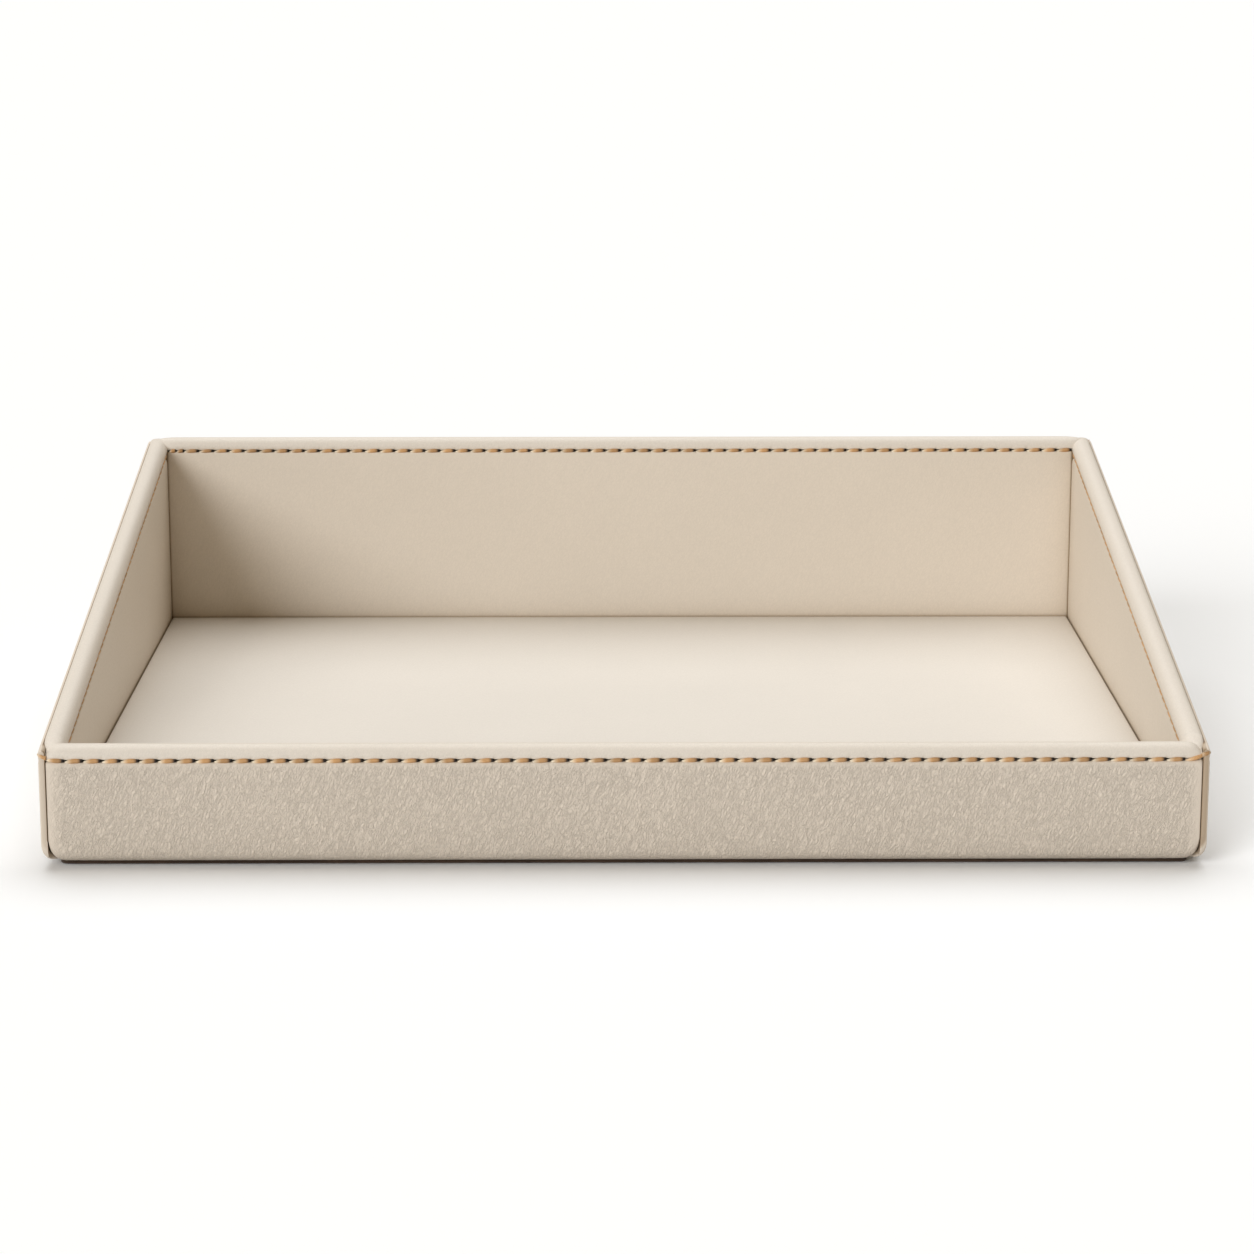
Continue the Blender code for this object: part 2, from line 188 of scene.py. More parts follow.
# The thread's pull: its reach along the wall, and how far it moves a top edge down and in.
# Each pair like this one is an amount everywhere and what a hole adds to it
PULL_WIDTH = 0.00045
EDGE_PULL = 0.00008
EDGE_PRESS = (0.00008, 0.00012)
EDGE_PRESS_REACH = 0.0005

# The faint swell of an end panel below its top edge
PUFF_LINE = 0.0011
PUFF_HALF = 0.0005
PANEL_PUFF = 0.00014
PUFF_PULL = (1.0, -0.6)

# Places down a panel: from its top edge, over a side panel's crown, across the groove and
# below it. Then shares of the plain face, of what is turned under, and of the tip's edge
PANEL_TOP_PLACES = np.array((0.0, 0.05, 0.18, 0.38, 0.65, 1.0, 1.45, 1.9)) / 1000
CROWN_PLACES = np.array((0.0, 0.008, 0.02)) / 1000
GROOVE_PLACES = np.array((-0.7, -0.6, -0.45, -0.3, -0.15, 0, 0.15, 0.3, 0.45, 0.6, 0.8)) / 1000
LOWER_PLACES = np.array((0.4, 0.9, 1.6, 2.6)) / 1000
FACE_SHARES = np.array((0.2, 0.4, 0.6, 0.8, 0.93))
UNDER_SHARES = np.linspace(0.0, 1.0, 13)[:-1]
TIP_SHARES = np.array((1.0, 0.65, 0.38, 0.18, 0.05, 0.0))

# The grain, measured in pebbles: the lean and stretch of its cells, the two noises that
# bend them, the width of creases, domes and pores, and the long wrinkles
PANEL_COLOUR = (0.728, 0.642, 0.545)
PANEL_PEBBLE = 0.00082
GRAIN_LEAN = (0.0, -0.42, 0.0)
GRAIN_STRETCH = (1.0, 1.0, 0.58)
CELL_BENDS = ((0.55, 1.3), (2.3, 0.55))
CREASE_WIDTH = 0.22
DOME_WIDTH = 0.55
PORE_WIDTH = 0.30
PORE_FINER = 2.6
WRINKLE_FINER = 1.1
WRINKLE_STRETCH = (1.0, 1.0, 0.45)
WRINKLE_BAND = 0.085
CLOUD_SCALE = 24.0

# Shares of the relief, and of a wrinkle's height for the broad waves between wrinkles
DOME_SHARE = 0.6
CREASE_SHARE = 0.4
PORE_SHARE = 0.22
WAVE_SHARE = 1.6

# Painted shade is browner: the power of the shade mark in red, green and blue
BROWNING = (1.0, 1.25, 1.6)

# The grain fades near edges and ends, where the leather is stretched
GRAIN_EDGE = 0.0020
GRAIN_END = 0.0040

# Painted shade: how much darker the leather is in the groove, at the top edge and in the
# corner seam
GROOVE_SHADES = (0.15, 0.25)
EDGE_SHADES = (0.10, 0.30)
EDGE_SHADE_REACH = 0.00030
SEAM_SHADE = 0.55
SEAM_REACH = 0.00010

# Painted shade: the rear side's light and its fall at the ends, the dark line along a side
# panel's crown under the rim's lip, in front and behind, and what is left of the light on
# that panel's cut ends, less on the right, which faces away from the key lamp
HIDDEN_SHADES = (0.75, 0.45)
HIDDEN_REACH = 0.0010
CROWN_SHADES = (0.25, 0.75)
CROWN_START = 0.0035
CROWN_FULL = 0.0050
CROWN_EDGE = 0.0003
CUT_SHADE = {"left": 0.90, "right": 0.60}
AT_EDGE = 1e-6

# Each row of stitches: half of its length between the corner seams, and its count
STITCH_ROWS = {
    ("end", "outer"): (END_WALL_HALF, 62),
    ("end", "inner"): (0.1498, 60),
    ("side", "outer"): (0.1223, 49),
    ("side", "inner"): (0.1163, 47),
}
KINDS = {"front": "end", "back": "end", "left": "side", "right": "side"}
TITLES = {"front": "front", "back": "back", "left": "left_side", "right": "right_side"}
STITCH_SHARES = np.array((0.0, 0.05, 0.10, 0.16, 0.25, 0.37, 0.50, 0.63, 0.75, 0.84, 0.90, 0.95))
END_STEPS = 7
STATION_GAP = 0.0001
CRISP_EDGE = 50


def wall_points(wall, along, inward, up):
    """Points of the tray from places along a wall, inward from its outer face, and up."""
    along, inward, up = np.broadcast_arrays(along, inward, up)
    if wall == "front":
        return np.stack((along, inward - HALF_DEPTH, up), -1)
    if wall == "back":
        return np.stack((along, HALF_DEPTH - inward, up), -1)
    if wall == "left":
        return np.stack((inward - HALF_WIDTH, along, up), -1)
    return np.stack((HALF_WIDTH - inward, along, up), -1)


def crest(wall, along):
    """Height of a wall's top: level at both ends of the tray, an even slope at the sides."""
    if wall == "front":
        return np.full_like(along, FRONT_HEIGHT)
    if wall == "back":
        return np.full_like(along, BACK_HEIGHT)
    return FRONT_HEIGHT + (BACK_HEIGHT - FRONT_HEIGHT) * (along + HALF_DEPTH) / (2 * HALF_DEPTH)


def rounding(distance, radius):
    """Fall of a rounded edge at a distance from it: r - sqrt(r^2 - (r - d)^2), 0 past r."""
    short = np.clip(radius - distance, 0.0, radius)
    return radius - np.sqrt(radius**2 - short**2)


def fading(distance, reach, power=1):
    """exp(-(d / reach)^power): 1 at an edge or a line, and less and less away from it."""
    return np.exp(-((distance / reach) ** power))


def ramp(value, start, end):
    """0 up to the start, 1 from the end on, and even in between."""
    return np.clip((value - start) / (end - start), 0.0, 1.0)


def stations(row, start, end, first_edge, last_edge):
    """Places along a wall: a dozen to each stitch, and finer ones at both rounded ends.

    They are a column, so that a station's values spread over its ring.
    """
    seam, count = STITCH_ROWS[row]
    pitch = 2 * seam / count
    stitched = (np.arange(-1, count + 2)[:, None] + STITCH_SHARES).ravel() * pitch - seam
    turn = 1 - np.cos(np.linspace(0, np.pi / 2, END_STEPS))
    first = start + first_edge * turn
    last = end - last_edge * turn[::-1]
    clear = (stitched > first[-1] + STATION_GAP) & (stitched < last[0] - STATION_GAP)
    return np.concatenate((first, stitched[clear], last))[:, None]


def pull(row, along):
    """How hard the thread pulls the leather in: exp(-(d / width)^2), d from the next hole."""
    seam, count = STITCH_ROWS[row]
    pitch = 2 * seam / count
    turns = (along + seam) / pitch
    nearest = np.clip(np.round(turns), 0, count)
    return fading((turns - nearest) * pitch, PULL_WIDTH, 2)


def with_pull(amounts, grip):
    """An amount everywhere, and what the thread adds to it at a hole: a + b * pull."""
    return amounts[0] + amounts[1] * grip


def front_and_rear(front, rear):
    """Values down the front of a sheet and back up its rear side, as one ring."""
    return np.concatenate((front, rear[:, ::-1]), 1)


def loop_faces(rings, sides):
    """Corners of the quads between closed rings that follow each other in a grid."""
    ring, side = np.meshgrid(np.arange(rings - 1), np.arange(sides), indexing="ij")
    after = (side + 1) % sides
    quads = (ring * sides + side, ring * sides + after)
    quads += ((ring + 1) * sides + after, (ring + 1) * sides + side)
    return np.stack(quads, -1).reshape(-1, 4)


def turned_out(points, quads, caps):
    """The faces turned so that they point outwards, found from the sign of the volume."""
    a, b, c, d = (points[quads[:, i]] for i in range(4))
    volume = np.einsum("ij,ij->i", a, np.cross(b, c)).sum()
    volume += np.einsum("ij,ij->i", a, np.cross(c, d)).sum()
    if volume < 0:
        return quads[:, ::-1], [cap[::-1] for cap in caps]
    return quads, caps


def leather_piece(name, rings, finish, node, marks=None):
    """A closed piece through a grid of rings, which rides on the tray for its CAD node.

    rings holds points as (ring, side, xyz). The first and last ring are closed with a
    flat face. marks are values at each point that the finish reads by name.
    """
    count, sides = rings.shape[:2]
    points = rings.reshape(-1, 3)
    ends = [list(range(sides))[::-1], [(count - 1) * sides + i for i in range(sides)]]
    quads, ends = turned_out(points, loop_faces(count, sides), ends)
    mesh = bpy.data.meshes.new(name)
    mesh.from_pydata(points.tolist(), [], quads.tolist() + ends)
    for mark, values in (marks or {}).items():
        layer = mesh.attributes.new(mark, "FLOAT", "POINT")
        spread = np.broadcast_to(values, (count, sides)).astype(np.float32)
        layer.data.foreach_set("value", spread.ravel())
    mesh.shade_smooth()
    mesh.set_sharp_from_angle(angle=math.radians(CRISP_EDGE))
    mesh.materials.append(finish)
    piece = bpy.data.objects.new(name, mesh)
    bpy.context.scene.collection.objects.link(piece)
    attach(piece, "root")
    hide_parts(node)


def bend_by(finish, place, scale, reach):
    """A place moved about by noise of a set scale, so that cells lose their straight sides."""
    noise = step(finish, "TexNoise", {"Vector": place, "Scale": scale, "Detail": 2.0})
    inputs = {0: noise.outputs["Color"], 1: (reach,) * 3, 2: place}
    return step(finish, "VectorMath", inputs, operation="MULTIPLY_ADD").outputs["Vector"]


def cell_edges(finish, place, scale):
    """The distance to the nearest edge between cells of a set scale."""
    inputs = {"Vector": place, "Scale": scale}
    made = step(finish, "TexVoronoi", inputs, feature="DISTANCE_TO_EDGE")
    return made.outputs["Distance"]


def leather_finish(name, colour, pebble, relief, wrinkle, contrast, cloud, roughness):
    """Leather: closed pebbles with creases between, pores, long wrinkles and faint clouds.

    The pebbles are cells, drawn out upwards at a slant and bent by two noises; a crease
    lies where two cells meet. The wrinkles are thin bands of a noise that is stretched
    further. The piece's own marks fade the grain at stretched edges and paint shade into
    seams, grooves, edges and holes, browner where it is darker.
    """
    finish, shader = new_finish(name)
    place = step(finish, "TexCoord").outputs["Object"]
    leaning = step(finish, "Mapping", {"Vector": place, "Rotation": GRAIN_LEAN}).outputs["Vector"]
    bent = step(finish, "Mapping", {"Vector": leaning, "Scale": GRAIN_STRETCH}).outputs["Vector"]
    for finer, far in CELL_BENDS:
        bent = bend_by(finish, bent, finer / pebble, far * pebble)
    cells = cell_edges(finish, bent, 1.0 / pebble)
    creases = between(finish, cells, 0.0, CREASE_WIDTH)
    domes = between(finish, cells, 0.0, DOME_WIDTH)
    pores = between(finish, cell_edges(finish, bent, PORE_FINER / pebble), 0.0, PORE_WIDTH)
    strung = step(finish, "Mapping", {"Vector": bent, "Scale": WRINKLE_STRETCH}).outputs["Vector"]
    inputs = {"Vector": strung, "Scale": WRINKLE_FINER / pebble, "Detail": 4.0}
    long = step(finish, "TexNoise", {**inputs, "Roughness": 0.55, "Distortion": 0.6})
    band = maths(finish, "ABSOLUTE", maths(finish, "SUBTRACT", long.outputs["Fac"], 0.5))
    wrinkles = between(finish, band, 0.0, WRINKLE_BAND)
    grain = step(finish, "Attribute", attribute_name="grain").outputs["Fac"]
    shade = step(finish, "Attribute", attribute_name="shade").outputs["Fac"]
    height = maths(finish, "MULTIPLY", domes, DOME_SHARE * relief)
    height = maths(finish, "MULTIPLY_ADD", creases, CREASE_SHARE * relief, height)
    height = maths(finish, "MULTIPLY_ADD", pores, PORE_SHARE * relief, height)
    height = maths(finish, "MULTIPLY_ADD", wrinkles, wrinkle, height)
    height = maths(finish, "MULTIPLY_ADD", long.outputs["Fac"], WAVE_SHARE * wrinkle, height)
    height = maths(finish, "MULTIPLY", height, grain)
    bump = step(finish, "Bump", {"Height": height, "Distance": 1.0})
    join(finish, bump.outputs["Normal"], shader.inputs["Normal"])
    clouds = step(finish, "TexNoise", {"Vector": place, "Scale": CLOUD_SCALE, "Detail": 3.0})
    light = maths(finish, "MULTIPLY_ADD", clouds.outputs["Fac"], cloud, 1 - cloud / 2)
    stain = maths(finish, "MULTIPLY_ADD", creases, contrast, 1 - 0.7 * contrast)
    fleck = maths(finish, "MULTIPLY_ADD", wrinkles, contrast, 1 - 0.7 * contrast)
    worked = maths(finish, "MULTIPLY", stain, fleck)
    worked = maths(finish, "SUBTRACT", worked, 1.0)
    worked = maths(finish, "MULTIPLY_ADD", worked, grain, 1.0)
    face = tint(finish, colour, maths(finish, "MULTIPLY", light, worked))
    shades = [maths(finish, "POWER", shade, power) for power in BROWNING]
    brown = step(finish, "CombineXYZ", dict(enumerate(shades))).outputs[0]
    shown = step(finish, "VectorMath", {0: face, 1: brown}, operation="MULTIPLY").outputs["Vector"]
    join(finish, shown, shader.inputs["Base Color"])
    rough = maths(finish, "MULTIPLY_ADD", creases, -0.08, roughness + 0.06)
    join(finish, rough, shader.inputs["Roughness"])
    shader.inputs["Specular IOR Level"].default_value = 0.40
    return finish


def panel_places(kind, straight, total):
    """Places down the middle of a panel's sheet at each station, from its top to its tip.

    They lie closest at the top edge, across a side panel's groove, and at the tip.
    """
    near = PANEL_TOP_PLACES
    if kind == "side":
        near = np.concatenate((CROWN_PLACES, near[1:], GROOVE_LINE + GROOVE_PLACES))
    near = np.append(near, near[-1] + LOWER_PLACES)
    face = near[-1] + FACE_SHARES * (straight - near[-1])
    under = straight + UNDER_SHARES * (total - straight - PANEL_EDGE)
    tip = total - TIP_SHARES * PANEL_EDGE
    return np.concatenate((np.broadcast_to(near, (len(face), len(near))), face, under, tip), 1)


def panel_rings(wall):
    """A panel: an even sheet, followed from its top edge down, round the bend and under.

    A point lies s below the top along the middle of the sheet. Past the straight part the
    middle turns on a quarter circle, then runs inward. Half the thickness to each side,
    less the rounding of the nearest edges, gives the two faces. At its ends a side panel
    is a little thicker, and it is cut off level with the end panel that it closes on.
    """
    kind = KINDS[wall]
    corner = PANEL_CORNERS[kind]
    half = END_WALL_HALF + PANEL_CLOSE if kind == "end" else HALF_DEPTH
    mitre = (HALF_WIDTH if kind == "end" else HALF_DEPTH) - MITRE_GAP
    along = stations((kind, "outer"), -half, half, corner, corner)
    end = half - np.abs(along)
    grip = pull((kind, "outer"), along)
    if kind == "end":
        top = crest(wall, along) - END_PANEL_DROP - EDGE_PULL * grip
    else:
        top = crest(wall, along) - SIDE_PANEL_DROP - rounding(half - along, SIDE_PANEL_REAR_CORNER)
    straight = top - PANEL_BOTTOM - rounding(end, corner) - PANEL_BEND
    middle = PANEL_BEND - PANEL_LEATHER / 2
    reach = np.clip(mitre - np.abs(along), PANEL_LEATHER + WELT, FLANGE_WIDTH)
    turn = np.arccos(np.clip(1 - reach / PANEL_BEND, 0.0, 1.0))
    total = straight + middle * turn + np.clip(reach - PANEL_BEND, 0.0, None)
    s = panel_places(kind, straight, total)
    left = total - s
    round_end, pillow, reach_in = PANEL_ENDS[kind]
    thick = PANEL_LEATHER / 2 - rounding(s, PANEL_EDGE) - rounding(left, PANEL_EDGE)
    outside = thick - rounding(end, round_end) - pillow * fading(end, reach_in)
    thick = np.maximum(thick - rounding(end, PANEL_BACK_EDGE), THINNEST)
    grain = ramp(np.minimum(s, left), 0.0, GRAIN_EDGE) * ramp(end, 0.0, GRAIN_END)
    # Painted shade: the rear side, the groove, the crown line, top edge, seam and cut ends
    hidden = np.ones_like(s) * (HIDDEN_SHADES[0] - HIDDEN_SHADES[1] * fading(end, HIDDEN_REACH))
    if kind == "side":
        groove = fading(s - GROOVE_LINE, GROOVE_HALF, 4) * ramp(end, 0.0, GROOVE_FADE)
        outside = outside - GROOVE_DEPTH * groove * with_pull(GROOVE_PULL, grip)
        thick = thick + WELT * fading(end, WELT_LENGTH, 4)
        crown = ramp(end, CROWN_START, CROWN_FULL)
        cut = end < AT_EDGE
        shade = 1 - groove * with_pull(GROOVE_SHADES, grip)
        shade = shade * (1 - CROWN_SHADES[0] * crown * (s < AT_EDGE))
        shade = np.where(cut, CUT_SHADE[wall], shade)
        hidden = hidden * (1 - CROWN_SHADES[1] * crown * (s < CROWN_EDGE))
        hidden = np.where(cut, CUT_SHADE[wall], hidden)
    else:
        outside = outside - fading(s, EDGE_PRESS_REACH) * with_pull(EDGE_PRESS, grip)
        puff = fading(s - PUFF_LINE, PUFF_HALF, 2)
        outside = outside + PANEL_PUFF * puff * with_pull(PUFF_PULL, grip)
        shade = 1 - fading(s, EDGE_SHADE_REACH) * with_pull(EDGE_SHADES, grip)
        shade = shade * (1 - SEAM_SHADE * fading(end, SEAM_REACH, 2))
    outside = np.maximum(outside, 2 * THINNEST - thick)
    bent = np.clip((s - straight) / middle, 0.0, np.pi / 2)
    past = np.clip(s - straight - middle * np.pi / 2, 0.0, None)
    inward = PANEL_BEND - middle * np.cos(bent) + past
    up = top - straight + np.clip(straight - s, 0.0, None) - middle * np.sin(bent)
    offset = front_and_rear(outside, -thick)
    lean = front_and_rear(bent, bent)
    place = front_and_rear(inward, inward) - offset * np.cos(lean)
    up = front_and_rear(up, up) - offset * np.sin(lean)
    if kind == "side":
        place = np.minimum(place, reach)
    marks = {"grain": front_and_rear(grain, grain), "shade": front_and_rear(shade, hidden)}
    return wall_points(wall, along, place, up), marks


grained_leather = leather_finish(
    "grained_leather", PANEL_COLOUR, pebble=PANEL_PEBBLE, relief=0.000140, wrinkle=0.000080,
    contrast=0.10, cloud=0.06, roughness=0.52,
)
for wall, title in TITLES.items():
    rings, marks = panel_rings(wall)
    leather_piece(title + "_panel_leather", rings, grained_leather,
                  title + "_panel", marks)

# ------------------------------------------------------------------ linings
# Smooth thin leather glued to the inside of each wall, down to the base board. The side
# linings butt against the end ones, and their rear top corners are cut round.

LINING_OUTER = 0.0054
LINING_INNER = 0.0069
LINING_EDGE = 0.0006
LINING_CLOSE = 0.0002
LINING_DROP = 0.0042
LINING_CORNER = 0.0045
LINING_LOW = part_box("front_lining")[0].z
FLOOR_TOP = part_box("floor_leather")[1].z
SIDE_LINING_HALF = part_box("left_side_lining")[1].y
CORNER_HALF = HALF_WIDTH - LINING_INNER
LINING_PRESS = (0.00006, 0.00012)
LINING_END_SHARE = 0.8

# Places down a lining: from its top edge, shares of what is left above the floor, and
# back from its lower edge
LINING_TOP_PLACES = np.array((0.0, 0.05, 0.18, 0.38, 0.65, 1.0, 1.5, 2.2, 3.2)) / 1000
LINING_SHARES = np.array((0.80, 0.60, 0.43, 0.29, 0.18, 0.10, 0.05, 0.025, 0.01, 0.0))
LINING_FOOT_PLACES = np.array((3.0, 1.2, 0.6, 0.35, 0.18, 0.05, 0.0)) / 1000

# Painted shade: how much darker it is at its top edge and on its hidden rear side, and in a
# wide and a fine line along the floor and down the corners, with how far each reaches
LINING_COLOUR = (0.755, 0.676, 0.578)
LINING_EDGE_SHADES = (0.08, 0.30)
LINING_HIDDEN_SHADE = 0.5
FLOOR_LINES = ((0.14, 0.0025), (0.25, 0.00025))
CORNER_LINES = ((0.14, 0.0040), (0.50, 0.00030))
LINING_GRAIN_EDGE = 0.0030
LINING_GRAIN_LEAST = 0.2


def along_seam(distance, lines, power):
    """What a seam leaves of the light: 1 less a wide faint line and a fine dark one."""
    (wide, wide_reach), (fine, fine_reach) = lines
    return 1 - wide * fading(distance, wide_reach) - fine * fading(distance, fine_reach, power)


def lining_rings(wall):
    """A lining: a flat sheet with rounded edges, pulled in a little at each stitch hole.

    Painted shade deepens its colour in a fine line where it meets the floor and the next
    lining, and faintly for a few millimetres round that line.
    """
    kind = KINDS[wall]
    half = END_WALL_HALF if kind == "end" else SIDE_LINING_HALF + LINING_CLOSE
    last_edge = LINING_EDGE if kind == "end" else LINING_CORNER
    along = stations((kind, "inner"), -half, half, LINING_EDGE, last_edge)
    end = half - np.abs(along)
    grip = pull((kind, "inner"), along)
    top = crest(wall, along) - LINING_DROP - EDGE_PULL * grip
    if kind == "side":
        top = top - rounding(half - along, LINING_CORNER)
    height = top - LINING_LOW
    near = np.broadcast_to(LINING_TOP_PLACES, (len(along), len(LINING_TOP_PLACES)))
    deepest = LINING_TOP_PLACES[-1]
    face = deepest + (1 - LINING_SHARES) * (top - FLOOR_TOP - deepest)
    s = np.concatenate((near, face, height - LINING_FOOT_PLACES), 1)
    thick = (LINING_INNER - LINING_OUTER) / 2
    thick = thick - rounding(s, LINING_EDGE) - rounding(height - s, LINING_EDGE)
    inside = thick - LINING_END_SHARE * rounding(end, LINING_EDGE)
    inside = inside - fading(s, EDGE_PRESS_REACH) * with_pull(LINING_PRESS, grip)
    thick = np.maximum(thick, THINNEST)
    inside = np.maximum(inside, 2 * THINNEST - thick)
    offset = front_and_rear(inside, -thick)
    up = front_and_rear(top - s, top - s)
    corner = np.clip((CORNER_HALF if kind == "end" else half) - np.abs(along), 0.0, None)
    above = np.clip(top - FLOOR_TOP - s, 0.0, None)
    # Painted shade at the top edge and holes, along the floor, down the corners and behind
    shade = 1 - fading(s, EDGE_SHADE_REACH) * with_pull(LINING_EDGE_SHADES, grip)
    shade = shade * along_seam(above, FLOOR_LINES, 1) * along_seam(corner, CORNER_LINES, 2)
    grain = np.clip(np.minimum(s, height - s) / LINING_GRAIN_EDGE, LINING_GRAIN_LEAST, 1.0)
    hidden = np.full_like(shade, LINING_HIDDEN_SHADE)
    marks = {"grain": front_and_rear(grain, grain), "shade": front_and_rear(shade, hidden)}
    middle = (LINING_INNER + LINING_OUTER) / 2
    return wall_points(wall, along, middle + offset, up), marks


lining_leather = leather_finish(
    "lining_leather", LINING_COLOUR, pebble=0.0008, relief=0.000008, wrinkle=0.000010,
    contrast=0.03, cloud=0.05, roughness=0.52,
)
for wall, title in TITLES.items():
    rings, marks = lining_rings(wall)
    leather_piece(title + "_lining_leather", rings, lining_leather,
                  title + "_lining", marks)

# ------------------------------------------------------------------ rolled rims
# Soft pale leather rolled over the round top of each wall board and sewn on both sides.
# The side rims lap over the side panels and tuck under the front rim. The front rim's
# ends and the side rims' rear ends are round. The back rim presses into the side rims.

RIM_LEG = 0.0039
RIM_LEG_EDGE = 0.00045
RIM_LEATHER = 0.0014
SIDE_RIM_OUTER = 0.0019

# The outer side of each kind of rim, the outer side of its hollow, and its outer leg
RIM_OUTSIDES = {"end": (0.0, 0.0016, RIM_LEG), "side": (SIDE_RIM_OUTER, 0.0031, 0.0036)}

# A side rim's section: its lip over the panel, the hook of leather below that, its highest
# place, and how far it falls from there to its inner side
RIM_LAP = 0.00112
RIM_LAP_EDGE = 0.00035
RIM_BROW = 0.00085
RIM_HOOK = np.array(((1.90, 1.86, 1.68, 1.40), (-2.40, -1.90, -1.52, -1.30))) / 1000
RIM_TOP = 0.0036
RIM_INNER_FALL = 0.0030

# The thread's pull on a rim: inward and up, between which depths, and how far into a leg
RIM_PULL = (0.00030, 0.00014)
RIM_RAISE = 0.00006
RIM_PULL_DEPTHS = (0.0020, 0.0040)
INNER_PULL_WIDTH = 0.0012
OUTER_PULL_SHARE = 1 / 1.2

# Where a side rim's lip draws back in the tuck, and how far in its section that reaches
LAP_DRAWN = (0.0022, 0.0046)
LAP_REACH = 0.0034
BACK_RIM_PRESS = 0.0034
SIDE_RIM_TUCK = 0.0063
SIDE_RIM_TUCKED_EDGE = 0.0006
SIDE_RIM_SINK = 0.0024

# Painted shade: how much darker a rim is low down, at the holes, at the front rim's ends
# and on a side rim's lip, and the most and least of its grain
RIM_COLOUR = (0.755, 0.690, 0.608)
RIM_SHADES = (0.04, 0.25)
RIM_END_SHADE = (0.30, 0.0004)
RIM_LAP_SHADE = (0.65, 0.00030)
RIM_LAP_START = 0.0009
RIM_GRAIN = (1.15, 0.3)

# Each wall's rim: where it starts and ends, the length and fall of both rounded ends, and
# how much narrower the ends are
RIM_ENDS = {
    "front": (-END_WALL_HALF - PANEL_CLOSE, END_WALL_HALF + PANEL_CLOSE, 0.0044, 0.0031, 0.12),
    "back": (-CORNER_HALF - BACK_RIM_PRESS, CORNER_HALF + BACK_RIM_PRESS, 0.0065, 0.0009, 0.50),
    "left": (-SIDE_LINING_HALF - SIDE_RIM_TUCK, HALF_DEPTH, 0.0034, 0.0030, 0.12),
    "right": (-SIDE_LINING_HALF - SIDE_RIM_TUCK, HALF_DEPTH, 0.0034, 0.0030, 0.12),
}


def arc(inward, up, half_width, half_height, turn):
    """Points on an ellipse round a place of the section, in rows of inward and up."""
    return np.stack((inward + half_width * np.cos(turn), up + half_height * np.sin(turn)))


def rim_section(kind):
    """A rim's closed section: inward from the wall's face and up from its crest.

    An end rim is a half circle on two short legs. A side rim is flatter: a quarter
    ellipse that ends in a lip over the panel's edge, and a rounder quarter inside. The
    hollow for the board is a smaller half circle, and half an ellipse closes each leg.
    The last two values are how far a point follows the thread's pull outside and inside.
    """
    outer, hollow, outer_leg = RIM_OUTSIDES[kind]
    if kind == "end":
        half = (LINING_INNER - outer) / 2
        parts = [arc(outer + half, -half, half, half, np.linspace(np.pi, 0.0, 29)[:-1])]
    else:
        below = np.linspace(1.5 * np.pi, np.pi, 4)[:-1]
        outside = np.linspace(np.pi, np.pi / 2, 13)
        inside = np.linspace(np.pi / 2, 0.0, 15)[1:]
        parts = [
            RIM_HOOK,
            arc(RIM_LAP + RIM_LAP_EDGE, -RIM_BROW, RIM_LAP_EDGE, RIM_LAP_EDGE, below),
            arc(RIM_TOP, -RIM_BROW, RIM_TOP - RIM_LAP, RIM_BROW, outside),
            arc(RIM_TOP, -RIM_INNER_FALL, LINING_INNER - RIM_TOP, RIM_INNER_FALL, inside),
        ]
    turn = np.linspace(0.0, np.pi, 9)
    inner_half = (LINING_INNER - LINING_OUTER) / 2
    hollow_half = (LINING_OUTER - hollow) / 2
    outer_half = (hollow - outer) / 2
    edge = RIM_LEG_EDGE
    parts += [
        arc(LINING_OUTER + inner_half, edge - RIM_LEG, inner_half, -edge, turn[:-1]),
        arc(hollow + hollow_half, -hollow_half - RIM_LEATHER, hollow_half, hollow_half, turn),
        arc(outer + outer_half, edge - outer_leg, outer_half, -edge, turn[:-1]),
    ]
    inward, up = np.concatenate(parts, 1)
    low = ramp(-up, *RIM_PULL_DEPTHS) ** 2
    inner_side = low * ramp(inward - LINING_OUTER, 0.0, INNER_PULL_WIDTH)
    if kind == "side":
        return inward, up, np.zeros_like(up), inner_side
    outer_side = low * ramp((hollow - inward) / (hollow - outer), 0.0, OUTER_PULL_SHARE)
    return inward, up, outer_side, inner_side


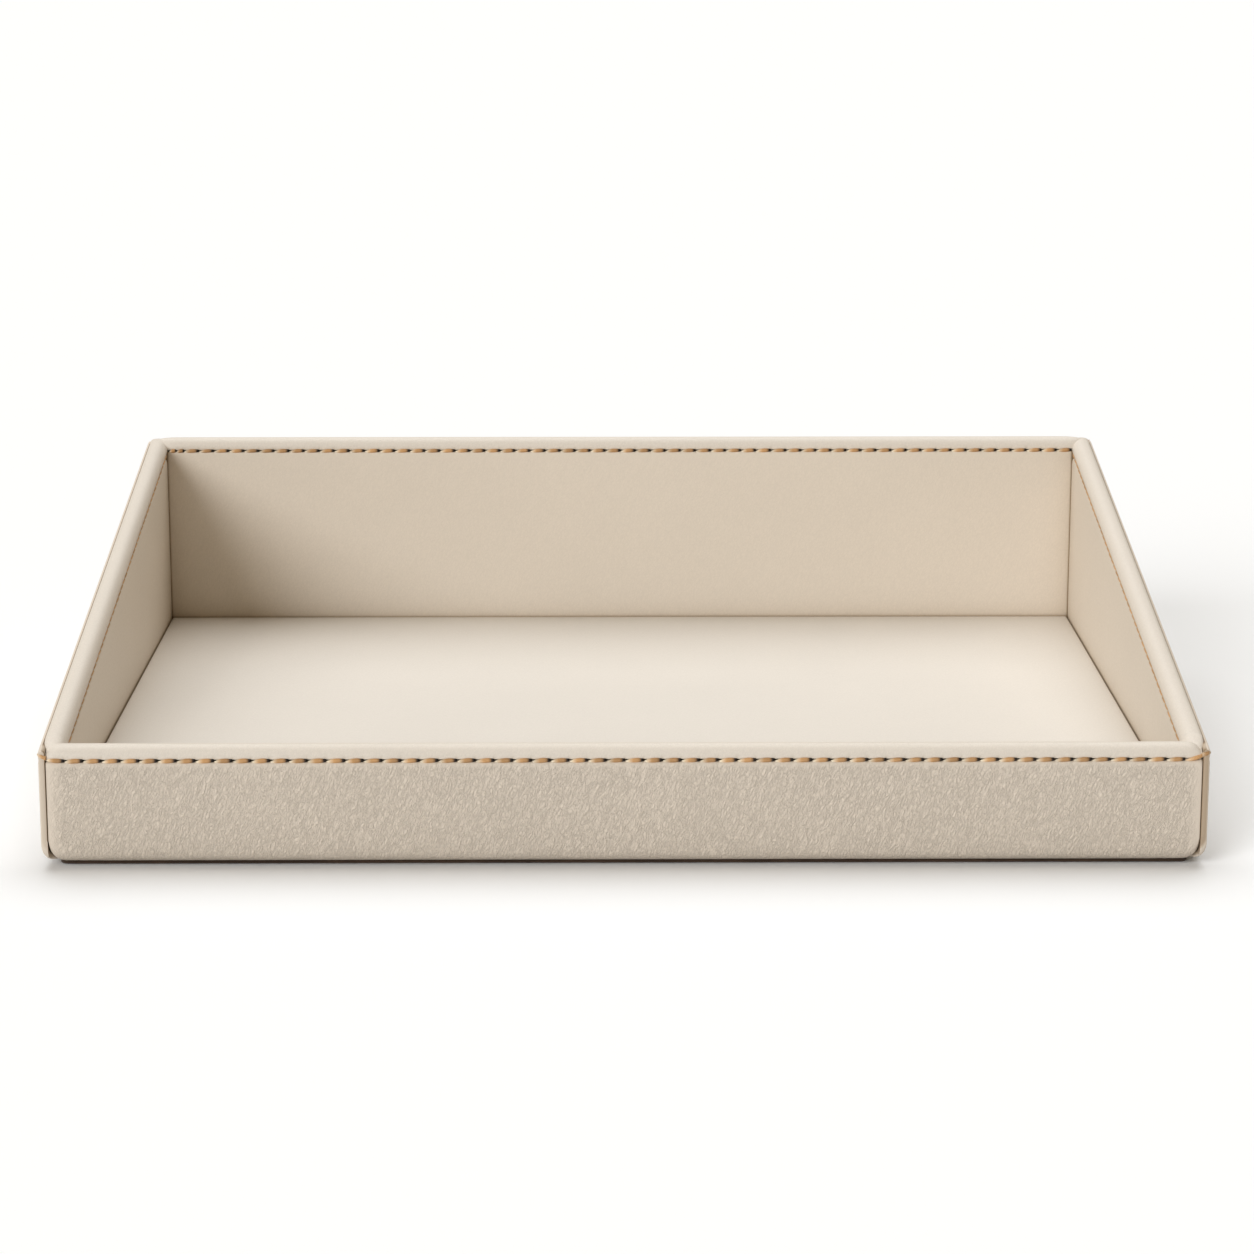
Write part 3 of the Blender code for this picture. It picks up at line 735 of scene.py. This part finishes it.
def rim_rings(wall):
    """A rim: its section carried along the wall, pinched at the holes, squeezed at its ends.

    A rounded end falls along a quarter ellipse. The front end of a side rim sinks by its
    place in the tuck, and its lip draws back from the panel's edge over a short way.
    """
    kind = KINDS[wall]
    start, end, length, depth, slimmer = RIM_ENDS[wall]
    row = (kind, "outer") if kind == "end" else (kind, "inner")
    first = length if kind == "end" else SIDE_RIM_TUCKED_EDGE
    along = stations(row, start, end, first, length)
    section, up, outer_side, inner_side = rim_section(kind)
    outer_grip = pull((kind, "outer"), along)
    inner_grip = pull((kind, "inner"), along)
    grip = outer_side * outer_grip + inner_side * inner_grip
    inward = section + outer_side * with_pull(RIM_PULL, outer_grip)
    inward = inward - inner_side * with_pull(RIM_PULL, inner_grip)
    raised = up + RIM_RAISE * grip
    fall = rounding(end - along, length) / length
    if kind == "end":
        fall = fall + rounding(along - start, length) / length
    squeeze = 1 - fall * depth / RIM_LEG
    middle = (LINING_INNER + section.min()) / 2
    inward = middle + (inward - middle) * (1 - slimmer * fall)
    height = crest(wall, along) - RIM_LEG + (raised + RIM_LEG) * squeeze
    # Painted shade low on the legs, at the holes, the front rim's ends and a side rim's lip
    shade = 1 - RIM_SHADES[0] * (outer_side + inner_side) - RIM_SHADES[1] * grip
    if wall == "front":
        ends = np.minimum(along - start, end - along)
        darker, reach = RIM_END_SHADE
        shade = shade * (1 - darker * fading(ends, reach, 2))
    if kind == "side":
        tuck = -SIDE_LINING_HALF - along
        height = height - SIDE_RIM_SINK * ramp(tuck, 0.0, SIDE_RIM_TUCK)
        drawn = ramp(tuck, *LAP_DRAWN)
        lap = 1 - ramp(section, RIM_LAP, LAP_REACH)
        inward = inward + (SIDE_RIM_OUTER - RIM_LAP) * lap * drawn**2 * (3 - 2 * drawn)
        darker, reach = RIM_LAP_SHADE
        lip = fading(section - RIM_LAP, reach, 2) * (up < -RIM_LAP_START)
        shade = shade * (1 - darker * lip)
    grain = np.clip(RIM_GRAIN[0] - outer_side - inner_side, RIM_GRAIN[1], 1.0)
    return wall_points(wall, along, inward, height), {"shade": shade, "grain": grain}


rim_leather = leather_finish(
    "rim_leather", RIM_COLOUR, pebble=0.0007, relief=0.000012, wrinkle=0.000012,
    contrast=0.04, cloud=0.04, roughness=0.46,
)
for wall, title in TITLES.items():
    rings, marks = rim_rings(wall)
    leather_piece(title + "_rim_leather", rings, rim_leather,
                  title + "_rim", marks)

# ------------------------------------------------------------------ stitch rows
# Waxed tan thread in saddle stitch. Each stitch comes out of one hole, lies slanting
# in the groove under the rim, and goes down into the next hole. At the corners the
# outer rows run on across the edges of the side panels.

THREAD_COLOUR = (0.540, 0.300, 0.125)
THREAD_HIGHLIGHT = (0.900, 0.780, 0.600)
THREAD_PALE_HIGHLIGHT = (0.760, 0.560, 0.360)
THREAD_SHADE = (0.060, 0.030, 0.015)
THREAD_HOLE_SHADE = (0.012, 0.006, 0.004)

# The thread's colour on its way from hole to hole, lit by a painted highlight where it
# comes out and darkened by painted shade where it goes in: the place, the light and the colour
THREAD_STOPS = (
    (0.24, 1.00, THREAD_PALE_HIGHLIGHT),
    (0.42, 1.10, THREAD_COLOUR),
    (0.70, 1.00, THREAD_COLOUR),
    (0.80, 0.60, THREAD_COLOUR),
    (0.86, 1.00, THREAD_SHADE),
    (0.90, 1.00, THREAD_HOLE_SHADE),
)
THREAD_HIGHLIGHT_END = 0.09
THREAD_TWIST = 5.0
THREAD_STRANDS = 3.0
THREAD_RIDGE = 0.00012
THREAD_FUZZ = 0.00003

# The gap between stitches, the shift of a row's first hole, and how flat the thread lies
STITCH_SIDES = 6
STITCH_GAP = 0.00012
STITCH_SHIFT = 0.00025
STITCH_FLAT = 0.92

# How far stitches differ in length, rise, thickness and depth
STITCH_VARIES = (0.00006, 0.15, 0.06, 0.00003)

# Inside the sides the thread is slimmer, lies deeper and shows none of its painted
# highlight at the start
SUNK_SLIMMER = 0.2
SUNK_DEEPER = 0.00018
SUNK_START = 0.4

# A thread across a corner: its half thickness, its gap to the corner, its depth and how
# much deeper it goes past the seam, and the part of the colours that it shows
CROSSING_SIZE = 0.00060
CROSSING_GAP = 0.0003
CROSSING_DEPTHS = {"end": 0.00016, "side": 0.00036}
CROSSING_DEEPER = 0.00030
CROSSING_REACH = 0.0017
CROSSING_COLOURS = (0.22, 0.40)

# A stitch from hole to hole: how far along it is, and there its half thickness, its
# height over the stitching line and its depth below the face of the wall
STITCH_RUN = np.array((0.0, 0.08, 0.20, 0.36, 0.54, 0.70, 0.82, 0.92, 1.0))
STITCH_SIZE = np.array((0.14, 0.30, 0.47, 0.61, 0.68, 0.66, 0.60, 0.54, 0.46)) / 1000
STITCH_RISE = np.array((-0.36, -0.31, -0.20, -0.07, 0.02, 0.05, 0.05, 0.04, 0.03)) / 1000
STITCH_DEPTH = np.array((0.50, 0.37, 0.29, 0.24, 0.24, 0.28, 0.35, 0.46, 0.60)) / 1000

# How far the thread is lifted above the line at a corner, at the start and end of the
# first crossing, first stitch, last stitch and last crossing of an outer row
CORNER_LIFTS = {
    "end": ((0.0016, 0.0008), (0.0006, 0.0), (0.0, 0.0011), (0.0012, 0.0018)),
    "side": ((0.0017, 0.0014), (0.0013, 0.0), (0.0, 0.0), (0.0, 0.0008)),
}


def thread_finish(name):
    """Twisted waxed thread: painted highlight coming out, painted shade going in."""
    finish, shader = new_finish(name)
    run = step(finish, "Attribute", attribute_name="run").outputs["Fac"]
    turn = step(finish, "Attribute", attribute_name="turn").outputs["Fac"]
    strand = maths(finish, "MULTIPLY_ADD", run, THREAD_TWIST, turn)
    strand = maths(finish, "FRACT", maths(finish, "MULTIPLY", strand, THREAD_STRANDS))
    ridge = maths(finish, "PINGPONG", strand, 0.5)
    place = step(finish, "TexCoord").outputs["Object"]
    fuzz = step(finish, "TexNoise", {"Vector": place, "Scale": 5200.0, "Detail": 3.0})
    mood = step(finish, "TexNoise", {"Vector": place, "Scale": 160.0, "Detail": 1.0})
    # Painted highlight where the thread comes out, painted shade to black where it goes in
    colours = step(finish, "ValToRGB", {"Fac": run})
    stops = colours.color_ramp.elements
    stops[0].position = THREAD_HIGHLIGHT_END
    stops[0].color = (*THREAD_HIGHLIGHT, 1.0)
    stops[1].position = 1.0
    stops[1].color = (*THREAD_HOLE_SHADE, 1.0)
    for spot, level, colour in THREAD_STOPS:
        stop = stops.new(spot)
        stop.color = (*(level * part for part in colour), 1.0)
    light = maths(finish, "MULTIPLY_ADD", ridge, 0.4, 0.85)
    varied = between(finish, mood.outputs["Fac"], 0.3, 0.7, 0.85, 1.2)
    light = maths(finish, "MULTIPLY", light, varied)
    join(finish, tint(finish, colours.outputs["Color"], light), shader.inputs["Base Color"])
    height = maths(finish, "MULTIPLY", ridge, THREAD_RIDGE)
    height = maths(finish, "MULTIPLY_ADD", fuzz.outputs["Fac"], THREAD_FUZZ, height)
    bump = step(finish, "Bump", {"Height": height, "Distance": 1.0})
    join(finish, bump.outputs["Normal"], shader.inputs["Normal"])
    shader.inputs["Roughness"].default_value = 0.48
    return finish


def stitch_row(name, wall, face, finish, node):
    """A row of slanted stitches, each a bent spindle of a few dozen faces.

    Each ring of a stitch is a flattened circle of the half thickness at its place in the
    run. At the corners of the outer rows the thread climbs towards the rim, and stitches
    without the painted shade at their ends cross the edges of the side panels. The back
    row's inside starts with a stitch that was sewn twice as close.
    """
    kind = KINDS[wall]
    seam, count = STITCH_ROWS[(kind, face)]
    pitch = 2 * seam / count
    first = np.arange(count) * pitch - seam
    length = np.full(count, pitch - STITCH_GAP)
    if wall == "back" and face == "inner":
        first = np.insert(first, 1, first[0] + 0.5 * pitch)
        length = np.concatenate(((0.5 * pitch, 0.5 * pitch), length[1:]))
    first = first + STITCH_SHIFT
    across = np.zeros_like(first)
    lifts = np.zeros((len(first), 2))
    if face == "outer":
        over = (HALF_WIDTH - END_WALL_HALF if kind == "end" else HALF_DEPTH - seam) - CROSSING_GAP
        first = np.concatenate(((-seam - over,), first, (seam - CROSSING_GAP,)))
        length = np.concatenate(((over + CROSSING_GAP,), length, (over + CROSSING_GAP,)))
        across = np.concatenate(((1.0,), across, (1.0,)))
        lifts = np.zeros((len(first), 2))
        lifts[[0, 1, -2, -1]] = CORNER_LIFTS[kind]
    first, length, across, lift_first, lift_last = (
        values[:, None, None] for values in (first, length, across, lifts[:, 0], lifts[:, 1])
    )
    run, size, rise, depth = (
        values[None, :, None] for values in (STITCH_RUN, STITCH_SIZE, STITCH_RISE, STITCH_DEPTH)
    )
    around = np.linspace(0.0, 2 * np.pi, STITCH_SIDES, endpoint=False)[None, None, :]
    vary = np.random.default_rng(7).uniform(-1.0, 1.0, (4, len(first), 1, 1))
    longer, higher, thicker, deeper = (most * part for most, part in zip(STITCH_VARIES, vary))
    along = first + run * (length + longer)
    climb = lift_first * (1 - run) ** 2 + lift_last * run**2
    lift = np.where(across > 0, lift_first + (lift_last - lift_first) * run, climb)
    sunk = 1.0 if kind == "side" and face == "inner" else 0.0
    rise = rise * (1 - across) * (1 + higher) + lift
    size = (1 - SUNK_SLIMMER * sunk) * size * (1 + thicker)
    size = size * (1 - across) + CROSSING_SIZE * across
    past_seam = ramp(np.abs(along) - seam, 0.0, CROSSING_REACH) ** 3
    crossing_depth = CROSSING_DEPTHS[kind] + CROSSING_DEEPER * past_seam
    depth = (depth + SUNK_DEEPER * sunk) * (1 - across) + crossing_depth * across - deeper
    inward = depth - STITCH_FLAT * size * np.cos(around)
    raised = rise + size * np.sin(around)
    if face == "inner":
        inward = LINING_INNER - inward
    along = np.broadcast_to(along, inward.shape)
    up = crest(wall, along) - STITCH_DROP + raised
    points = wall_points(wall, along, inward, up).reshape(-1, 3)
    rows = len(first)
    rings = len(STITCH_RUN)
    one = loop_faces(rings, STITCH_SIDES)
    shift = np.arange(rows)[:, None, None] * rings * STITCH_SIDES
    quads = (one + shift).reshape(-1, 4)
    tail = np.arange(STITCH_SIDES)
    caps = (tail[::-1] + shift[:, 0]).tolist()
    caps += (tail + (rings - 1) * STITCH_SIDES + shift[:, 0]).tolist()
    quads, caps = turned_out(points, quads, caps)
    mesh = bpy.data.meshes.new(name)
    mesh.from_pydata(points.tolist(), [], quads.tolist() + caps)
    turns = np.abs(around / np.pi - 1)
    plain = np.maximum(across, lift_last > 0)
    shown = run * (1 - plain) + (CROSSING_COLOURS[0] + CROSSING_COLOURS[1] * run) * plain
    shown = np.maximum(shown, SUNK_START * sunk)
    for mark, values in (("run", shown), ("turn", turns)):
        layer = mesh.attributes.new(mark, "FLOAT", "POINT")
        spread = np.broadcast_to(values, (rows, rings, STITCH_SIDES))
        layer.data.foreach_set("value", spread.astype(np.float32).ravel())
    mesh.shade_smooth()
    mesh.materials.append(finish)
    piece = bpy.data.objects.new(name, mesh)
    bpy.context.scene.collection.objects.link(piece)
    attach(piece, "root")
    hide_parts(node)


tan_thread = thread_finish("tan_thread")
for wall in KINDS:
    for face in ("outer", "inner"):
        title = wall + "_" + face
        stitch_row(title + "_stitches", wall, face, tan_thread, title + "_thread")

# ------------------------------------------------------------------ floor leather
# Smooth pale leather drawn over the floor card, turned down round its edges and glued.
# The finished insert drops between the linings and leaves a fine dark line all round,
# deepened by painted shade.

floor_low, floor_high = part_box("floor_leather")
FLOOR_LEATHER = 0.0010
FLOOR_BEND = 0.0013
FLOOR_EDGE = 0.0008
FLOOR_CLOSE = 0.00015
FLOOR_CORNER = 0.0013
FLOOR_TUCK = 0.0001
LEAST_CORNER = 0.0002
FLOOR_COLOUR = (0.774, 0.728, 0.666)

# Painted shade along the floor's edge, in a wide and a fine line with their reach
FLOOR_EDGE_LINES = ((0.10, 0.0040), (0.55, 0.0003))

# Rings across the plain middle of the floor, below and above
FLOOR_HOLLOW_INSETS = (0.0400, 0.0060)
FLOOR_FACE_INSETS = (0.0030, 0.0060, 0.0120, 0.0400)


def plate_rings(half_x, half_y, corner, insets, heights):
    """Rings of a plate: a rectangle with round corners, drawn in by each inset.

    A ring's corner arcs have the plate's radius less the inset, and their centres lie
    that radius inside the drawn-in rectangle.
    """
    inset = np.asarray(insets, float)[:, None, None]
    radius = np.maximum(corner - inset, LEAST_CORNER)
    quarter = np.linspace(0.0, np.pi / 2, 7)
    starts = np.array((0.0, 0.5, 1.0, 1.5)) * np.pi
    angle = (starts[:, None] + quarter)[None]
    side_x = np.array((1.0, -1.0, -1.0, 1.0))[None, :, None]
    side_y = np.array((1.0, 1.0, -1.0, -1.0))[None, :, None]
    x = side_x * (half_x - inset - radius) + radius * np.cos(angle)
    y = side_y * (half_y - inset - radius) + radius * np.sin(angle)
    z = np.broadcast_to(np.asarray(heights, float)[:, None, None], x.shape)
    return np.stack((x, y, z), -1).reshape(len(insets), -1, 3)


turn = np.linspace(0.0, np.pi / 2, 8)
bend_in = FLOOR_BEND - FLOOR_LEATHER
insets = np.concatenate(
    (
        FLOOR_HOLLOW_INSETS,
        FLOOR_BEND - bend_in * np.sin(turn),
        (FLOOR_LEATHER - FLOOR_TUCK, FLOOR_TUCK),
        FLOOR_EDGE - FLOOR_EDGE * np.cos(turn),
        FLOOR_FACE_INSETS,
    )
)
heights = np.concatenate(
    (
        (floor_high.z - FLOOR_LEATHER,) * len(FLOOR_HOLLOW_INSETS),
        floor_high.z - FLOOR_BEND + bend_in * np.cos(turn),
        (floor_low.z, floor_low.z),
        floor_high.z - FLOOR_EDGE + FLOOR_EDGE * np.sin(turn),
        (floor_high.z,) * len(FLOOR_FACE_INSETS),
    )
)
floor_leather = leather_finish(
    "floor_leather", FLOOR_COLOUR, pebble=0.0009, relief=0.000006, wrinkle=0.000008,
    contrast=0.02, cloud=0.05, roughness=0.50,
)
floor_half = (floor_high.x + FLOOR_CLOSE, floor_high.y + FLOOR_CLOSE)
floor_rings = plate_rings(*floor_half, FLOOR_CORNER, insets, heights)
# Painted shade along the floor's edge
painted_edge_shade = along_seam(insets, FLOOR_EDGE_LINES, 2)
leather_piece("floor_leather_sheet", floor_rings, floor_leather, "floor_leather",
              {"grain": 1.0, "shade": painted_edge_shade[:, None]})

# ------------------------------------------------------------------ suede base
# A mat of dark brown suede cloth with round corners, glued under the tray. It is what
# the tray stands on, and it shows as a dark line under the front panel.

suede_low, suede_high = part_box("suede_base")
SUEDE_CORNER = 0.0022
SUEDE_OUT = 0.0008
SUEDE_EDGE = 0.0005
SUEDE_NAP = 0.00012
SUEDE_FACE_INSETS = (0.0030, 0.0300)
SUEDE_COLOUR = (0.070, 0.042, 0.026)


def suede_finish(name):
    """Brushed suede: short nap that lies in soft patches, with a faint sheen."""
    finish, shader = new_finish(name)
    place = step(finish, "TexCoord").outputs["Object"]
    nap = step(finish, "TexNoise", {"Vector": place, "Scale": 2600.0, "Detail": 4.0})
    inputs = {"Vector": place, "Scale": 45.0, "Detail": 3.0, "Distortion": 1.0}
    brushed = step(finish, "TexNoise", inputs)
    light = maths(finish, "MULTIPLY_ADD", nap.outputs["Fac"], 0.7, 0.65)
    patches = between(finish, brushed.outputs["Fac"], 0.35, 0.65, 0.8, 1.25)
    light = maths(finish, "MULTIPLY", light, patches)
    join(finish, tint(finish, SUEDE_COLOUR, light), shader.inputs["Base Color"])
    height = maths(finish, "MULTIPLY", nap.outputs["Fac"], SUEDE_NAP)
    bump = step(finish, "Bump", {"Height": height, "Distance": 1.0})
    join(finish, bump.outputs["Normal"], shader.inputs["Normal"])
    shader.inputs["Roughness"].default_value = 0.95
    shader.inputs["Sheen Weight"].default_value = 0.25
    shader.inputs["Sheen Roughness"].default_value = 0.6
    shader.inputs["Specular IOR Level"].default_value = 0.2
    return finish


round_edge = np.linspace(0.0, np.pi / 2, 5)
insets = np.concatenate(
    (
        SUEDE_FACE_INSETS[::-1],
        SUEDE_EDGE * (1 - np.sin(round_edge)),
        SUEDE_EDGE * (1 - np.cos(round_edge)),
        SUEDE_FACE_INSETS,
    )
)
heights = np.concatenate(
    (
        (suede_low.z,) * 2,
        suede_low.z + SUEDE_EDGE * (1 - np.cos(round_edge)),
        suede_high.z - SUEDE_EDGE * (1 - np.sin(round_edge)),
        (suede_high.z,) * 2,
    )
)
brown_suede = suede_finish("brown_suede")
suede_rings = plate_rings(suede_high.x + SUEDE_OUT, suede_high.y, SUEDE_CORNER, insets, heights)
leather_piece("suede_base_mat", suede_rings, brown_suede, "suede_base")

# ------------------------------------------------------------------ studio
# A plain pale floor that the camera sees a little whiter and cooler than it lights the
# tray, a soft light low from the left front, a larger one from above and behind, a weak
# warm sky, and a camera at the photograph's angle.

PAPER_SEEN = (0.965, 0.980, 1.0)
PAPER_LIT = 0.82
PAPER_HALF = 30

paper, paper_shader = new_finish("pale_paper")
seen = step(paper, "LightPath").outputs["Is Camera Ray"]
whites = [maths(paper, "MULTIPLY_ADD", seen, part - PAPER_LIT, PAPER_LIT) for part in PAPER_SEEN]
white = step(paper, "CombineXYZ", dict(enumerate(whites))).outputs[0]
join(paper, white, paper_shader.inputs["Base Color"])
paper_shader.inputs["Roughness"].default_value = 0.9
paper_shader.inputs["Specular IOR Level"].default_value = 0.0
ground_mesh = bpy.data.meshes.new("ground")
far = PAPER_HALF
corners = [(-far, -far, 0), (far, -far, 0), (far, far, 0), (-far, far, 0)]
ground_mesh.from_pydata(corners, [], [(0, 1, 2, 3)])
ground_mesh.materials.append(paper)
ground = bpy.data.objects.new("ground", ground_mesh)
bpy.context.scene.collection.objects.link(ground)

# Each lamp's strength, its width in degrees, and where it stands
SKY = 0.20
SKY_COLOUR = (1.0, 0.84, 0.60, 1.0)
LAMP_COLOUR = (0.98, 0.99, 1.0)
KEY = (1.82, 30, (-0.525, -0.750, 0.402))
REAR = (2.18, 60, (0.0, 0.42, 0.908))

sky = bpy.data.worlds.new("studio")
sky.use_nodes = True
sky.node_tree.nodes["Background"].inputs["Color"].default_value = SKY_COLOUR
sky.node_tree.nodes["Background"].inputs["Strength"].default_value = SKY
bpy.context.scene.world = sky

for name, (strength, spread, towards) in (("key", KEY), ("rear", REAR)):
    lamp = bpy.data.lights.new(name, "SUN")
    lamp.energy = strength
    lamp.color = LAMP_COLOUR
    lamp.angle = math.radians(spread)
    light = bpy.data.objects.new(name, lamp)
    across = math.hypot(towards[0], towards[1])
    tilt = math.atan2(across, towards[2])
    heading = math.atan2(towards[1], towards[0]) + math.pi / 2
    light.rotation_euler = (tilt, 0.0, heading)
    bpy.context.scene.collection.objects.link(light)

# The camera's place in metres, angles in degrees, lens in millimetres
CAMERA_PLACE = (-0.0057, -1.0295, 0.2755)
CAMERA_DOWN = 12.97
CAMERA_TURN = 0.40
CAMERA_LENS = 100.6
CAMERA_SENSOR = 36.0
CAMERA_NEAREST = 0.01
CAMERA_FARTHEST = 100.0

lens = bpy.data.cameras.new("camera")
lens.sensor_width = CAMERA_SENSOR
lens.lens = CAMERA_LENS
lens.clip_start = CAMERA_NEAREST
lens.clip_end = CAMERA_FARTHEST
camera = bpy.data.objects.new("camera", lens)
camera.location = CAMERA_PLACE
camera.rotation_euler = (math.radians(90 - CAMERA_DOWN), 0.0, math.radians(-CAMERA_TURN))
bpy.context.scene.collection.objects.link(camera)
bpy.context.scene.camera = camera
bpy.context.scene.view_settings.view_transform = "Standard"
